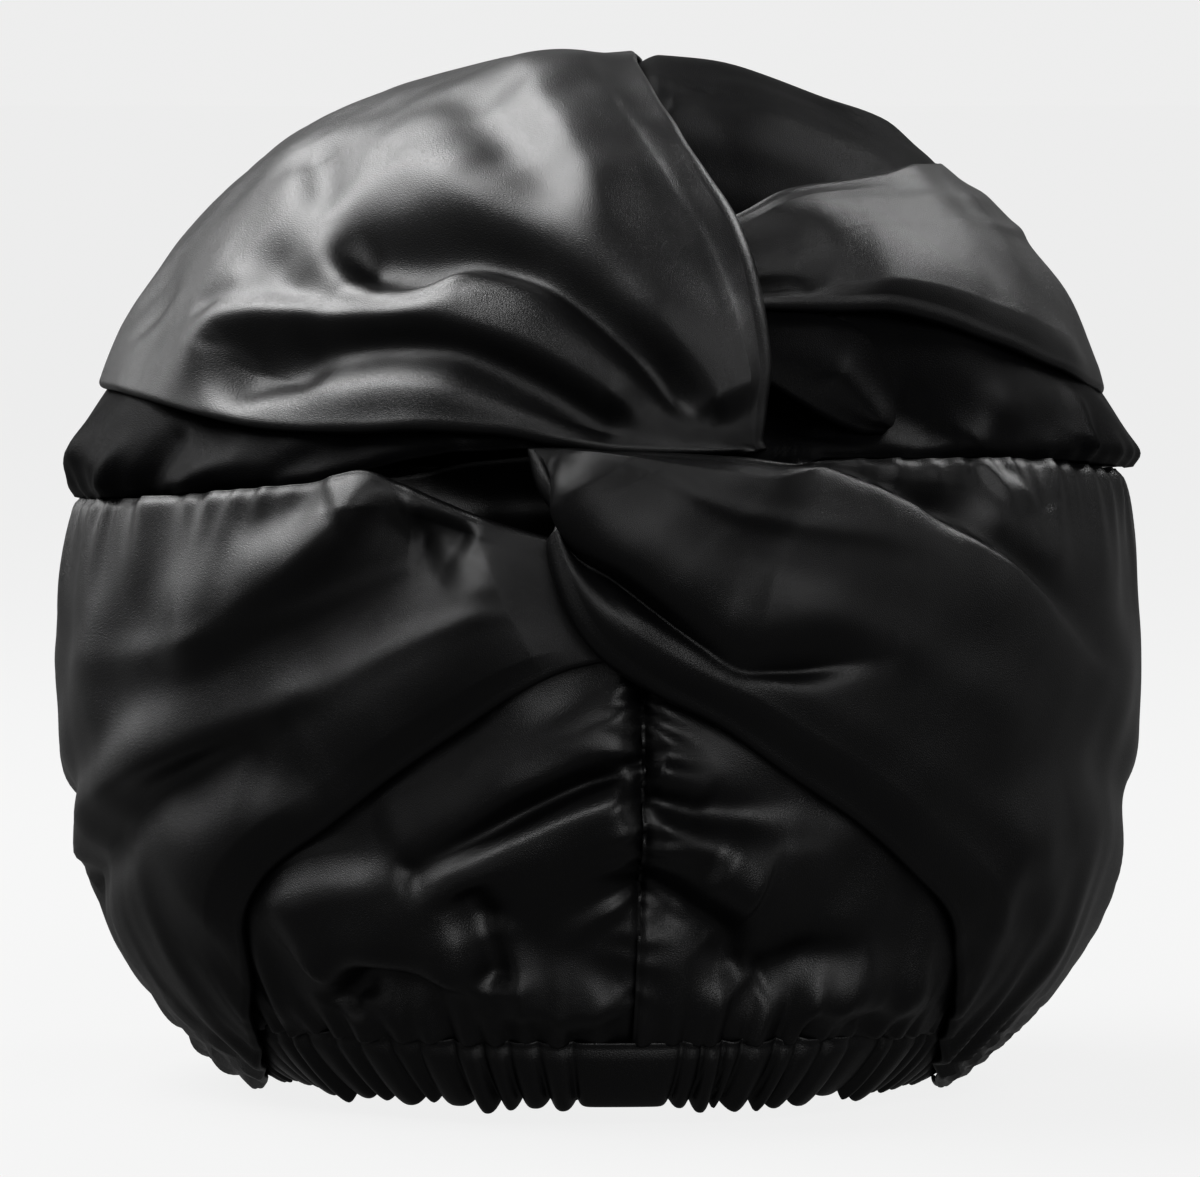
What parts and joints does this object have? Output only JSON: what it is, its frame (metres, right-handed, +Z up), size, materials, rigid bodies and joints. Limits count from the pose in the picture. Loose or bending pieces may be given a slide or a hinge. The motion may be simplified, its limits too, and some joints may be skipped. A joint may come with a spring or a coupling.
{
  "type": "hair cap",
  "caption": "Full soft satin hair cap, shown worn: draped loops twist into a knot at the front, a gathered waist seam goes round it, and a ruffled elastic hem grips the head.",
  "frame": {"origin": "centre of the opening, at the level of the hem's lower edge, where the wearer's head comes in", "axes": "-Y to the front with the knot, +X to the right of the front view, +Z up to the crown"},
  "size_m": [0.2427, 0.2673, 0.2286],
  "materials": {
    "satin": "satin"
  },
  "bodies": {
    "root": {"crown": "satin", "front_panel_left": "satin", "front_panel_right": "satin", "elastic_hem": "satin", "lower_left_drape": "satin", "lower_right_drape": "satin", "upper_right_drape": "satin", "loop_tail": "satin", "upper_left_drape": "satin"}
  },
  "joints": []
}
